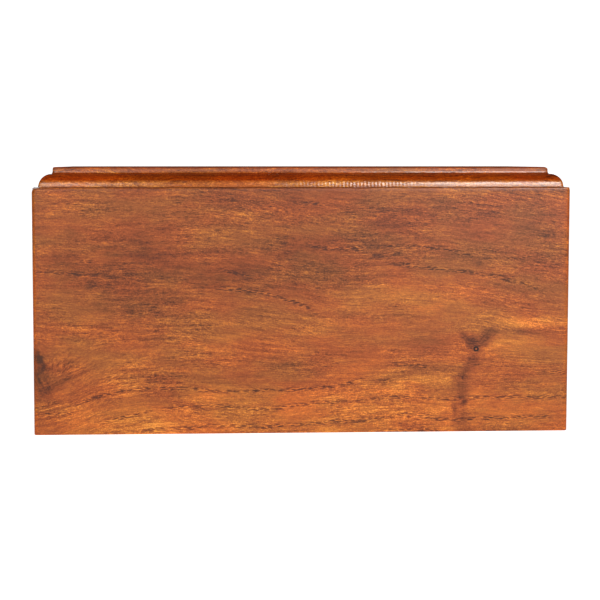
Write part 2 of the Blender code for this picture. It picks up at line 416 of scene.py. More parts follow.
def flattened(tree, vector):
    """The vector in the XZ plane, which the front's figure is laid out in."""
    return scaled(tree, vector, (1.0, 0.0, 1.0))


def coordinates(tree, vector):
    """A vector's X, Y and Z."""
    return add_node(tree, "ShaderNodeSeparateXYZ", {"Vector": vector}).outputs


def ramp(tree, value, low, high, to_low=0.0, to_high=1.0):
    """Smooth step from to_low to to_high as value goes from low to high."""
    inputs = {"Value": value, "From Min": low, "From Max": high, "To Min": to_low, "To Max": to_high}
    return add_node(tree, "ShaderNodeMapRange", inputs, interpolation_type="SMOOTHSTEP").outputs["Result"]


def between(tree, value, rise, fall, most=1.0):
    """0 outside, and up to its most between the two stretches that it fades over."""
    return product(tree, ramp(tree, value, *rise, 0.0, most), ramp(tree, value, *fall))


def noise(tree, vector, along, across, detail=2.0, roughness=0.5, output="Fac"):
    """Noise with so many waves a millimetre along the grain, which is X, and across it."""
    stretched = scaled(tree, vector, (along, across, across))
    values = {"Vector": stretched, "Scale": 1.0, "Detail": detail, "Roughness": roughness}
    return add_node(tree, "ShaderNodeTexNoise", values, noise_dimensions="3D").outputs[output]


def wiggle(tree, vector, along, across, reach, detail=2.0):
    """A noise vector that wanders as far as its reach, which is one number or one for each axis."""
    waves = noise(tree, vector, along, across, detail, 0.5, "Color")
    return scaled(tree, vector_maths(tree, "SUBTRACT", waves, (0.5, 0.5, 0.5)), reach)


def cells(tree, vector, along, across):
    """Random cells stretched along the grain: their Distance and Color."""
    values = {"Vector": scaled(tree, vector, (along, across, across)), "Scale": 1.0, "Randomness": 1.0}
    return add_node(tree, "ShaderNodeTexVoronoi", values, voronoi_dimensions="3D", feature="F1").outputs


def mix_colours(tree, factor, first, second, blend="MIX"):
    values = {0: factor, 6: first, 7: second}
    return add_node(tree, "ShaderNodeMix", values, data_type="RGBA", blend_type=blend).outputs[2]


def height_curve(tree, along, points, top=BOARD_HEIGHT_MM):
    """A curve through points (along, height) in millimetres, read at along."""
    node = add_node(tree, "ShaderNodeFloatCurve")
    curve = node.mapping.curves[0]
    for index, (x, z) in enumerate(points):
        place = ((x + BOARD_LENGTH_MM / 2) / BOARD_LENGTH_MM, z / top)
        if index < 2:
            curve.points[index].location = place
        else:
            curve.points.new(*place)
    node.mapping.extend = "HORIZONTAL"
    node.mapping.update()
    feed(tree, node.inputs["Value"], add_share(tree, 0.5, along, 1 / BOARD_LENGTH_MM))
    return product(tree, node.outputs["Value"], top)


def shared_group(name, inputs, outputs):
    """Makes a function that wires a node group into one that gives the group, wired on its first use.

    The inputs are names with defaults, a tuple for a vector. The function gives a value for each output."""

    def decorate(wire):
        def give():
            ready = bpy.data.node_groups.get(name)
            if ready:
                return ready
            group = bpy.data.node_groups.new(name, "ShaderNodeTree")
            for label, default in inputs.items():
                kind = "NodeSocketVector" if isinstance(default, tuple) else "NodeSocketFloat"
                socket = group.interface.new_socket(name=label, in_out="INPUT", socket_type=kind)
                socket.default_value = default
            for label in outputs:
                group.interface.new_socket(name=label, in_out="OUTPUT", socket_type="NodeSocketFloat")
            given = group.nodes.new("NodeGroupInput").outputs
            result = group.nodes.new("NodeGroupOutput").inputs
            for label, value in zip(outputs, wire(group, given)):
                group.links.new(value, result[label])
            return group

        return give

    return decorate


def use_group(tree, group, values):
    """Places a shared group in a tree and returns its outputs."""
    return add_node(tree, "ShaderNodeGroup", values, node_tree=group()).outputs


# Node groups shared by the boards


@shared_group(
    "rosewood figure",
    {
        "Vector": ORIGIN,
        "Grain Rise": 0.0,
        "Wander": 6.0,
        "Pith": (0.0, 40.0, -70.0),
        "Line Gap": 13.0,
        "Line Strength": 1.0,
        "Cloud": 0.25,
    },
    ["Tone", "Pores", "Lines"],
)
def figure_group(group, given):
    """Rosewood figure with its grain along X. Tone is the natural logarithm of its brightness."""
    place = given["Vector"]
    slow = wiggle(group, place, 0.011, 0.028, given["Wander"], 1.0)
    curl = wiggle(group, place, 0.075, 0.17, (0.0, 1.7, 1.7))
    rise = add_node(group, "ShaderNodeCombineXYZ", {"Z": product(group, given["Grain Rise"], -1.0)})
    flow = place
    for move in (slow, curl, rise.outputs[0]):
        flow = vector_maths(group, "ADD", flow, move)

    cloud = noise(group, place, 0.020, 0.045, 3.0, 0.60)
    grain = noise(group, flow, 0.021, 0.085, 5.0, 0.90)
    fibre = noise(group, flow, 0.042, 0.68, 3.0, 0.95)
    speck = noise(group, flow, 0.48, 1.60, 1.0, 0.9)
    pits = noise(group, place, 1.25, 1.30, 1.0, 0.9)
    depth = ramp(group, noise(group, place, 0.035, 0.08), 0.30, 0.70, 0.65, 1.40)
    pore_cells = cells(group, flow, 0.24, 1.40)
    dash = ramp(group, pore_cells["Distance"], 0.50, 0.15)
    pick_cells = add_node(group, "ShaderNodeSeparateColor", {"Color": pore_cells["Color"]}).outputs[0]
    chosen = ramp(group, pick_cells, 0.35, 1.0)
    pores = product(group, dash, chosen, depth)

    from_pith = vector_maths(group, "SUBTRACT", flow, given["Pith"])
    radius = vector_maths(group, "LENGTH", scaled(group, from_pith, (0.0, 1.0, 1.0)))
    turns = maths(group, "DIVIDE", radius, given["Line Gap"])
    phase = maths(group, "PINGPONG", add_share(group, turns, cloud, 1.6), 0.5)
    lines = product(group, ramp(group, phase, 0.14, 0.0), given["Line Strength"])

    fine = product(group, centred(group, fibre), FIBRE_SHOWS)
    fine = add_share(group, fine, centred(group, speck), SPECK_SHOWS)
    fine = add_share(group, fine, centred(group, pits), PITS_SHOW)
    fine = add_share(group, fine, pores, PORES_SHOW)
    tone = add_share(group, 0.06, fine, depth)
    tone = add_share(group, tone, centred(group, grain), GRAIN_SHOWS)
    tone = add_share(group, tone, centred(group, cloud), given["Cloud"])
    return tone, pores, lines


@shared_group(
    "wood patch", {"Vector": ORIGIN, "Centre": ORIGIN, "Shrink": (0.05, 0.0, 0.1), "Ragged": 0.0}, ["Mask"]
)
def patch_group(group, given):
    """A soft ragged oval in the XZ plane: 1 in its middle and 0 outside."""
    offset = vector_maths(group, "SUBTRACT", given["Vector"], given["Centre"])
    reach = vector_maths(group, "LENGTH", scaled(group, offset, given["Shrink"]))
    return [ramp(group, maths(group, "ADD", reach, given["Ragged"]), 1.20, 0.10)]


@shared_group(
    "pore line",
    {"Vector": ORIGIN, "Height": 0.0, "Start": -10.0, "End": 10.0, "Half Width": 1.0, "Dashes": 1.0},
    ["Mask", "Band"],
)
def pore_line_group(group, given):
    """A band along a growth line at a given height, and the dark dashes in it."""
    parts = coordinates(group, given["Vector"])
    off = maths(group, "ABSOLUTE", maths(group, "SUBTRACT", parts["Z"], given["Height"]))
    band = ramp(group, maths(group, "DIVIDE", off, given["Half Width"]), 1.0, 0.2)
    begins = ramp(group, maths(group, "SUBTRACT", parts["X"], given["Start"]), -3.0, 4.0)
    ends = ramp(group, maths(group, "SUBTRACT", given["End"], parts["X"]), -3.0, 4.0)
    band = product(group, band, begins, ends)
    return product(group, band, given["Dashes"]), band


@shared_group(
    "knot",
    {"Vector": ORIGIN, "Centre": ORIGIN, "Eye": 1.5, "Reach": 14.0, "Lift": 0.5},
    ["Ring", "Eye", "Bend"],
)
def knot_group(group, given):
    """A knot: its dark ring, its lighter eye, and how far it bends the grain round itself."""
    offset = flattened(group, vector_maths(group, "SUBTRACT", given["Vector"], given["Centre"]))
    distance = vector_maths(group, "LENGTH", offset)
    share = maths(group, "DIVIDE", distance, given["Eye"])
    disc = ramp(group, share, 1.25, 0.85)
    eye = ramp(group, share, 0.55, 0.25)
    square = maths(group, "POWER", maths(group, "DIVIDE", distance, given["Reach"]), 2.0)
    falloff = maths(group, "EXPONENT", product(group, square, -1.0))
    bend = product(group, coordinates(group, offset)["Z"], falloff, given["Lift"])
    return maths(group, "SUBTRACT", disc, eye, clamp=True), eye, bend


@shared_group(
    "lacquer", {"Vector": ORIGIN, "Pores": 0.0, "Gloss Roughness": 0.2, "Texture": 1.0}, ["Roughness", "Relief"]
)
def lacquer_group(group, given):
    """Brushed and rubbed lacquer: where it is duller, and its unevenness in millimetres."""
    place = given["Vector"]
    sanded = noise(group, place, 0.03, 0.05)
    peel = noise(group, place, 0.35, 0.55)
    grain = noise(group, place, 0.12, 1.1)
    relief = add_share(group, product(group, peel, 0.012), grain, 0.012)
    relief = product(group, relief, given["Texture"])
    relief = add_share(group, relief, sanded, 0.05)
    relief = add_share(group, relief, given["Pores"], -PORE_DEPTH)
    rough = add_share(group, given["Gloss Roughness"], centred(group, sanded), 0.12)
    rough = add_share(group, rough, given["Pores"], 0.10)
    return rough, relief


@shared_group("inside of the box", {"Vector": ORIGIN, "Half Room": HALF_ROOM}, ["Mask"])
def inside_group(group, given):
    """1 on the faces inside the box, which carry no lacquer."""
    from_middle = vector_maths(group, "ABSOLUTE", given["Vector"])
    parts = coordinates(group, vector_maths(group, "SUBTRACT", given["Half Room"], from_middle))
    nearest = maths(group, "MINIMUM", maths(group, "MINIMUM", parts["X"], parts["Y"]), parts["Z"])
    return [ramp(group, nearest, -0.25, -0.05)]


# Materials


Board = namedtuple("Board", "material tree shader place box_place")


def new_material(name):
    """A material whose tree holds only its output and a Principled BSDF."""
    material = bpy.data.materials.new(name)
    material.use_nodes = True
    return material, material.node_tree, material.node_tree.nodes["Principled BSDF"]


def new_board(name, turn=0.0, offset=ORIGIN):
    """A board's material with its place in millimetres, X along the grain, and its unturned box place."""
    material, tree, shader = new_material(name)
    box_place = scaled(tree, add_node(tree, "ShaderNodeTexCoord").outputs["Object"], (1 / MM, 1 / MM, 1 / MM))
    values = {"Vector": box_place, "Rotation": (0.0, 0.0, turn), "Location": offset}
    return Board(material, tree, shader, add_node(tree, "ShaderNodeMapping", values).outputs[0], box_place)


def finish(board, values):
    """Feeds the inputs of a board's shader."""
    for name, value in values.items():
        feed(board.tree, board.shader.inputs[name], value)


def wood_colours(board, tone, colours):
    """The wood's colour from its tone, dark pores to light flecks, a little redder or browner in places."""
    tree = board.tree
    node = add_node(tree, "ShaderNodeValToRGB", {"Fac": add_share(tree, 0.5, tone, 1 / TONE_SPAN)})
    elements = node.color_ramp.elements
    elements.remove(elements[1])
    shades = (colours.pore, colours.brown, colours.middle, colours.bright, colours.flame)
    for index, shade in enumerate(shades):
        position = index / (len(shades) - 1)
        element = elements[0] if index == 0 else elements.new(position)
        element.position = position
        element.color = (*shade, 1.0)
    drift = ramp(tree, noise(tree, board.place, 0.022, 0.06, 3.0, 0.6), 0.35, 0.65)
    tint = mix_colours(tree, drift, REDDER, BROWNER)
    return mix_colours(tree, 1.0, node.outputs["Color"], tint, "MULTIPLY")


def tinted(tree, colour, tints):
    """The colour multiplied by each tint where its mask is 1."""
    for mask, tint in tints:
        deeper = mix_colours(tree, 1.0, colour, (*tint, 1.0), "MULTIPLY")
        colour = mix_colours(tree, mask, colour, deeper)
    return colour


def lacquered(board, pores, gloss, texture):
    """The roughness and relief of a board's lacquer."""
    values = {"Vector": board.place, "Pores": pores, "Gloss Roughness": gloss, "Texture": texture}
    return use_group(board.tree, lacquer_group, values)


def raised(tree, relief):
    """The normal of a relief in millimetres."""
    return add_node(tree, "ShaderNodeBump", {"Strength": 1.0, "Distance": MM, "Height": relief}).outputs[0]


def finish_wood(board, tone, pores, colours, gloss=0.36, tints=()):
    """A wall's finish: lacquered outside, bare wood inside, and polished bright along its rim."""
    tree = board.tree
    colour = tinted(tree, wood_colours(board, tone, colours), tints)
    inside = use_group(tree, inside_group, {"Vector": board.box_place})["Mask"]
    bare = mix_colours(tree, 0.75, colour, (*colours.bare, 1.0))
    colour = mix_colours(tree, inside, colour, bare)
    lacquer = lacquered(board, pores, gloss, 1.0)
    rough = maths(tree, "MULTIPLY_ADD", inside, 0.45, lacquer["Roughness"], clamp=True)
    normal = raised(tree, lacquer["Relief"])
    polished = ramp(tree, coordinates(tree, board.box_place)["Z"], *RIM_POLISH, 0.0, 0.8)
    values = {
        "Base Color": colour,
        "Roughness": rough,
        "Normal": normal,
        "IOR": 1.38,
        "Coat Weight": maths(tree, "SUBTRACT", polished, inside, clamp=True),
        "Coat Roughness": 0.16,
        "Coat IOR": 1.65,
    }
    finish(board, values)


def lid_painted_shade_mask(board):
    """1 on the upper part of the lid's ovolo and along the top step's edge, where painted shade darkens the
    colour.
    """
    tree = board.tree
    height = coordinates(tree, board.box_place)["Z"]
    ovolo = between(tree, height, *OVOLO_PAINTED_SHADE)
    return maths(tree, "MAXIMUM", ovolo, between(tree, height, *STEP_PAINTED_SHADE, 0.7))


def lid_marks(board):
    """1 on the dark strokes in the lid's front."""
    tree = board.tree
    parts = coordinates(tree, board.box_place)
    front = ramp(tree, parts["Y"], -50.0, -55.0)
    marks = None
    for stroke in LID_STROKES.values():
        values = {
            "Vector": board.box_place,
            "Height": height_curve(tree, parts["X"], stroke.points, LID_CURVES_TOP),
            "Start": stroke.points[0][0] + 2.5,
            "End": stroke.points[-1][0] - 2.5,
            "Half Width": 0.55,
            "Dashes": stroke.strength,
        }
        marks = joined(tree, "MAXIMUM", marks, use_group(tree, pore_line_group, values)["Mask"])
    return product(tree, marks, front)


def shaded_and_marked(board, tone, colours):
    """The lid's colour, darkened by painted shade near the ovolo's top and along the step's edge, and in the
    dark strokes.
    """
    tints = ((lid_painted_shade_mask(board), colours.ovolo_painted_shade), (lid_marks(board), colours.knot_ring))
    return tinted(board.tree, wood_colours(board, tone, colours), tints)


def cutter_ripples(board):
    """Fine cross ripples that the moulding cutter left along part of the ovolo's front, millimetres."""
    tree = board.tree
    parts = coordinates(tree, board.box_place)
    wave = maths(tree, "SINE", product(tree, parts["X"], 2 * math.pi / RIPPLE_SPACING))
    strong = between(tree, parts["X"], *RIPPLES_ALONG)
    front = product(tree, ramp(tree, parts["Y"], *RIPPLES_IN), ramp(tree, parts["Z"], *RIPPLES_DOWN))
    return product(tree, wave, RIPPLE_DEPTH, product(tree, strong, front))


def finish_moulding(board, tone, pores, colours, gloss):
    """The moulding's finish: glossy, darkened by painted shade above, lighter towards its foot, with the
    cutter's ripples.
    """
    tree = board.tree
    # Lifts the tone towards the ovolo's foot
    foot = ramp(tree, coordinates(tree, board.box_place)["Z"], *OVOLO_FOOT)
    colour = shaded_and_marked(board, add_share(tree, tone, foot, 0.30), colours)
    lacquer = lacquered(board, pores, gloss, 2.5)
    brushed = noise(tree, board.box_place, 0.42, 1.5, 2.0, 0.7)
    relief = add_share(tree, lacquer["Relief"], brushed, 0.085)
    normal = raised(tree, maths(tree, "ADD", relief, cutter_ripples(board)))
    finish(board, {"Base Color": colour, "Roughness": lacquer["Roughness"], "Normal": normal, "IOR": 1.66})


def finish_lid_top(board, tone, pores, colours, gloss):
    """The finish of the lid's step and top: satin, and duller on the flat."""
    tree = board.tree
    colour = shaded_and_marked(board, tone, colours)
    lacquer = lacquered(board, pores, gloss, 2.0)
    flat = ramp(tree, coordinates(tree, board.box_place)["Z"], *LID_FLAT, 0.0, 0.16)
    rough = maths(tree, "ADD", lacquer["Roughness"], flat, clamp=True)
    normal = raised(tree, lacquer["Relief"])
    finish(board, {"Base Color": colour, "Roughness": rough, "Normal": normal, "IOR": 1.45})


def turned_about(tree, vector, centre, degrees):
    """The vector turned in the XZ plane about a centre."""
    values = {"Vector": vector, "Center": centre, "Axis": (0.0, 1.0, 0.0), "Angle": math.radians(degrees)}
    return add_node(tree, "ShaderNodeVectorRotate", values, rotation_type="AXIS_ANGLE").outputs[0]


def patch_mask(tree, flat, patch, ragged=0.0):
    """1 in the middle of a patch and 0 outside it."""
    centre = (patch.centre[0], 0.0, patch.centre[1])
    values = {
        "Vector": turned_about(tree, flat, centre, patch.turn) if patch.turn else flat,
        "Centre": centre,
        "Shrink": (1 / patch.half_length, 0.0, 1 / patch.half_height),
        "Ragged": ragged,
    }
    return use_group(tree, patch_group, values)["Mask"]


def add_patches(tree, tone, place, patches):
    """Adds each patch's share to the tone."""
    flat = flattened(tree, place)
    ragged = product(tree, centred(tree, noise(tree, place, 0.05, 0.13, 4.0, 0.7)), 1.6)
    for patch in patches.values():
        tone = add_share(tree, tone, patch_mask(tree, flat, patch, ragged), patch.strength)
    return tone


def pore_dashes(tree, place):
    """Dark dashes a few millimetres long that the pore lines are made of, and the wavy place they follow."""
    wavy = vector_maths(tree, "ADD", place, wiggle(tree, place, 0.10, 0.2, (0.0, 2.4, 2.4)))
    return ramp(tree, cells(tree, wavy, 0.28, 1.85)["Distance"], 0.62, 0.36), wavy


def add_pore_lines(tree, tone, place, lines):
    """Darkens the tone in dashes along each pore line and lightens it between them.

    Returns the tone and the dashes' mask."""
    dashes, wavy = pore_dashes(tree, place)
    along = coordinates(tree, place)["X"]
    dark = light = None
    for line in lines.values():
        values = {
            "Vector": wavy,
            "Height": height_curve(tree, along, line.points),
            "Start": line.points[0][0],
            "End": line.points[-1][0],
            "Half Width": 1.7,
            "Dashes": dashes,
        }
        outputs = use_group(tree, pore_line_group, values)
        dark = joined(tree, "MAXIMUM", dark, product(tree, outputs["Mask"], line.strength))
        light = joined(tree, "MAXIMUM", light, outputs["Band"])
    return add_share(tree, add_share(tree, tone, light, BAND_SHOWS), dark, DASHES_SHOW), dark


def add_turned_grain(tree, tone, place, places):
    """Adds fine streaks that run across the grain where it turns."""
    flat = flattened(tree, place)
    for turned in places.values():
        streaks = noise(tree, turned_about(tree, flat, ORIGIN, turned.turn), 0.11, 0.62, 2.0, 0.7)
        streaks = product(tree, centred(tree, streaks), TURNED_GRAIN_SHOWS * turned.strength)
        tone = add_share(tree, tone, patch_mask(tree, flat, turned._replace(turn=0)), streaks)
    return tone


def knots(tree, place, listed):
    """Rings, eyes and the bend of the grain, joined over the knots."""
    ring = eye = bend = None
    for knot in listed.values():
        values = {
            "Vector": place,
            "Centre": (knot.centre[0], 0.0, knot.centre[1]),
            "Eye": knot.eye,
            "Reach": knot.reach,
            "Lift": knot.lift,
        }
        outputs = use_group(tree, knot_group, values)
        ring = joined(tree, "MAXIMUM", ring, outputs["Ring"])
        eye = joined(tree, "MAXIMUM", eye, outputs["Eye"])
        bend = joined(tree, "ADD", bend, outputs["Bend"])
    return ring, eye, bend


def front_rise(tree, place):
    """How far the front board's grain has risen at each place, millimetres."""
    parts = coordinates(tree, place)
    low = height_curve(tree, parts["X"], GRAIN_NEAR_FOOT)
    high = height_curve(tree, parts["X"], GRAIN_NEAR_RIM)
    low = maths(tree, "SUBTRACT", low, FOOT_LINE_LEVEL)
    high = maths(tree, "SUBTRACT", high, RIM_LINE_LEVEL)
    share = ramp(tree, parts["Z"], *GRAIN_CHANGES)
    return add_share(tree, low, maths(tree, "SUBTRACT", high, low), share)


def upright_edge_glow(tree, place):
    """1 along the two upright edges of the front face, where a painted glow brightens the colour and tints it
    orange.
    """
    parts = coordinates(tree, place)
    left = ramp(tree, parts["X"], *LEFT_EDGE_GLOW)
    right = ramp(tree, parts["X"], *RIGHT_EDGE_GLOW, 0.0, 0.5)
    face = ramp(tree, parts["Y"], *FRONT_FACE)
    return product(tree, maths(tree, "MAXIMUM", left, right), face)


def front_material(colours):
    """The front board, with the knot, the pore lines and the patches that its face shows."""
    board = new_board("front rosewood")
    tree, place = board.tree, board.place
    ring, eye, bend = knots(tree, place, FRONT_KNOTS)
    rise = maths(tree, "ADD", front_rise(tree, place), bend)
    values = {"Vector": place, "Grain Rise": rise, "Wander": 2.5, "Line Strength": 0.0}
    figure = use_group(tree, figure_group, values)
    tone = add_patches(tree, figure["Tone"], place, FRONT_PATCHES)
    tone, dark = add_pore_lines(tree, tone, place, FRONT_PORE_LINES)
    tone = add_turned_grain(tree, tone, place, TURNED_GRAIN)
    # The edges mask is a painted glow along the rounded upright edges: it lifts the tone and tints it orange
    edges = upright_edge_glow(tree, place)
    for mask, share in ((edges, 0.30), (ring, -0.6), (eye, 0.5)):
        tone = add_share(tree, tone, mask, share)
    pores = maths(tree, "MAXIMUM", figure["Pores"], dark)
    finish_wood(board, tone, pores, colours, tints=((ring, colours.knot_ring), (edges, colours.edge_painted_glow)))
    return board.material


BoardLook = namedtuple("BoardLook", "turn offset wander pith line_gap line_strength lift gloss")
LID_LOOK = BoardLook(0.0, (-260.0, 80.0, -300.0), 20.0, (0.0, 65.0, -230.0), 11.0, 0.9, 0.06, 0.15)
ACROSS = math.pi / 2
BOARD_LOOKS = {
    "back rosewood": BoardLook(0.0, (410.0, 37.0, 15.0), 22.0, (0.0, 60.0, 62.0), 15.0, 1.0, 0.06, 0.33),
    "left side rosewood": BoardLook(
        ACROSS, (720.0, -210.0, 40.0), 16.0, (0.0, -80.0, 55.0), 12.0, 1.0, 0.04, 0.33
    ),
    "right side rosewood": BoardLook(
        ACROSS, (-930.0, 150.0, -60.0), 16.0, (0.0, 90.0, -10.0), 12.0, 1.0, 0.04, 0.33
    ),
    "lid moulding rosewood": LID_LOOK,
    "lid top rosewood": LID_LOOK._replace(gloss=0.38),
    "base rosewood": BoardLook(0.0, (150.0, -330.0, 500.0), 24.0, (0.0, -310.0, 440.0), 13.0, 0.8, -0.10, 0.55),
}
LID_FINISHES = {"lid moulding rosewood": finish_moulding, "lid top rosewood": finish_lid_top}


def board_material(name, colours):
    """A board whose figure comes from growth lines round its own pith."""
    look = BOARD_LOOKS[name]
    board = new_board(name, look.turn, look.offset)
    tree = board.tree
    values = {
        "Vector": board.place,
        "Wander": look.wander,
        "Pith": look.pith,
        "Line Gap": look.line_gap,
        "Line Strength": look.line_strength,
        "Cloud": 1.0,
    }
    figure = use_group(tree, figure_group, values)
    dashes, _ = pore_dashes(tree, board.place)
    dark = product(tree, figure["Lines"], dashes)
    tone = maths(tree, "ADD", add_share(tree, figure["Tone"], dark, -0.60), look.lift)
    pores = maths(tree, "MAXIMUM", figure["Pores"], dark)
    LID_FINISHES.get(name, finish_wood)(board, tone, pores, colours, look.gloss)
    return board.material


# Modelling


def select_only(piece):
    bpy.ops.object.select_all(action="DESELECT")
    piece.select_set(True)
    bpy.context.view_layer.objects.active = piece


def add_block(name, low, high):
    """A block between two corners, with its place in its mesh."""
    bpy.ops.object.select_all(action="DESELECT")
    size = [b - a for a, b in zip(low, high)]
    middle = [(a + b) / 2 for a, b in zip(low, high)]
    bpy.ops.mesh.primitive_cube_add(size=1, location=middle, scale=size)
    block = bpy.context.object
    block.name = name
    block.data.name = name
    bpy.ops.object.transform_apply(location=True, rotation=True, scale=True)
    return block


def pick(piece, kind, test):
    """Goes into edit mode with only the parts of that kind that pass the test selected."""
    select_only(piece)
    bpy.ops.object.mode_set(mode="EDIT")
    bpy.ops.mesh.select_mode(type=kind)
    bpy.ops.mesh.select_all(action="DESELECT")
    mesh = bmesh.from_edit_mesh(piece.data)
    parts = {"VERT": mesh.verts, "EDGE": mesh.edges, "FACE": mesh.faces}[kind]
    for part in parts:
        if test(part):
            part.select_set(True)
    mesh.select_flush_mode()
    bmesh.update_edit_mesh(piece.data)


def leave_edit():
    bpy.ops.object.mode_set(mode="OBJECT")


def round_picked(radius, segments):
    bpy.ops.mesh.bevel(offset=radius, segments=segments, profile=0.5, affect="EDGES", clamp_overlap=False)
    leave_edit()


def cut_across(piece, axis, places):
    """Cuts the piece by planes across that axis."""
    normal = [0.0, 0.0, 0.0]
    normal[axis] = 1.0
    pick(piece, "FACE", lambda face: True)
    for place in places:
        bpy.ops.mesh.select_all(action="SELECT")
        point = [0.0, 0.0, 0.0]
        point[axis] = place
        bpy.ops.mesh.bisect(plane_co=point, plane_no=normal)
    leave_edit()


def even_places(low, high, spacing):
    count = max(1, round((high - low) / spacing))
    return [low + (high - low) * step / count for step in range(1, count)]


def on_plane(vert, axis, level):
    return abs(vert.co[axis] - level) < ON_PLANE


def edge_on(edge, axis, level):
    return all(on_plane(vert, axis, level) for vert in edge.verts)


def apply_modifier(piece, modifier):
    select_only(piece)
    bpy.ops.object.modifier_apply(modifier=modifier.name)


def cut_base_rebate(piece):
    """Cuts the rebate that the base board sits in."""
    low = [BASE_LOW.x - JOINT_GAP, BASE_LOW.y - JOINT_GAP, BASE_LOW.z - WALL]
    high = [BASE_HIGH.x + JOINT_GAP, BASE_HIGH.y + JOINT_GAP, BASE_HIGH.z + JOINT_GAP]
    cutter = add_block("rebate_cutter", low, high)
    cut = piece.modifiers.new("base rebate", "BOOLEAN")
    cut.object = cutter
    cut.operation = "DIFFERENCE"
    apply_modifier(piece, cut)
    bpy.data.objects.remove(cutter, do_unlink=True)


def edge_weights(piece, name, nearness):
    """Makes a vertex group whose weights nearness(point) gives, and returns its name.

    The group itself is not handed on, because applying a modifier replaces it."""
    group = piece.vertex_groups.new(name=name)
    for vert in piece.data.vertices:
        weight = nearness(vert.co)
        if weight > 0:
            group.add([vert.index], weight, "REPLACE")
    return group.name


def displace(piece, group, strength, mid_level=0.0, **settings):
    """Moves the vertices of a named group, along their normals unless the settings give a direction."""
    move = piece.modifiers.new(group, "DISPLACE")
    move.vertex_group = group
    move.strength = strength
    move.mid_level = mid_level
    for name, setting in settings.items():
        setattr(move, name, setting)
    apply_modifier(piece, move)


def wander(piece, group, amount, scale):
    """Lets the vertices of a named group wander in and out by a slow noise."""
    texture = bpy.data.textures.new(f"{piece.name} {group}", "CLOUDS")
    texture.noise_scale = scale
    texture.noise_depth = 2
    displace(piece, group, amount, 1.0, texture=texture, texture_coords="LOCAL")


def rolled_towards(axis, level, rolled):
    """The roll's weight for the face at that level alone."""
    return lambda point: rolled(point) if abs(point[axis] - level) < ON_FACE else 0.0


def finish_piece(piece, node, material):
    """Shades the piece smooth, gives it its material and puts it in the place of its solid."""
    select_only(piece)
    bpy.ops.object.shade_smooth_by_angle(angle=SMOOTH_ANGLE)
    piece.data.materials.clear()
    piece.data.materials.append(material)
    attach(piece, BODY)
    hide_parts(node)


def outer_level(node_low, node_high):
    """The outward directions of a wall as (axis, level): those of its faces that lie on the box's outside."""
    outside_low, outside_high = CAD_BOX
    found = []
    for axis in (0, 1):
        if abs(node_low[axis] - outside_low[axis]) < ON_PLANE:
            found.append((axis, node_low[axis]))
        if abs(node_high[axis] - outside_high[axis]) < ON_PLANE:
            found.append((axis, node_high[axis]))
    return found


# Chips in the rim of the front board: place along it and reach, metres, with how deep each goes
RIM_CHIPS = (
    (-0.0783, 0.0016, 1.0),
    (0.083, 0.005, 0.5),
    (0.090, 0.0035, 0.4),
    (-0.1445, 0.0035, 1.1),
    (0.031, 0.002, 0.35),
)
# Heights of the cuts through the rim's roll, as shares of it, and how near a wall's face counts as on it
ROLL_CUTS = (1.0, 0.85, 0.7, 0.55, 0.4, 0.28)
ON_FACE = 3e-4
# How far the edges' wander runs before it turns, on the rim and on the lid
RIM_WAVE = 0.016
LID_WAVE = 0.018
# How far the worn corner reaches, and how much it drops for each millimetre that it goes in
CORNER_REACH = 0.0055
CORNER_DROP = 0.7
# The panel that drops inside the walls, the lid's chamfers and its rounded corners
PANEL_CLEARANCE = 0.0005
PANEL_CHAMFER = 0.0010
SEAT_CHAMFER = 0.0002
LID_CORNER = 0.0010
# Facets round each rounded edge
UPRIGHT_SEGMENTS = 6
RIM_SEGMENTS = 6
FOOT_SEGMENTS = 3
COVE_SEGMENTS = 8
STEP_SEGMENTS = 10
# How far the step's rounding reaches at the lid's ends, as shares of its reach in front
LEFT_STEP_SHARE = 0.6
RIGHT_STEP_SHARE = 1.5


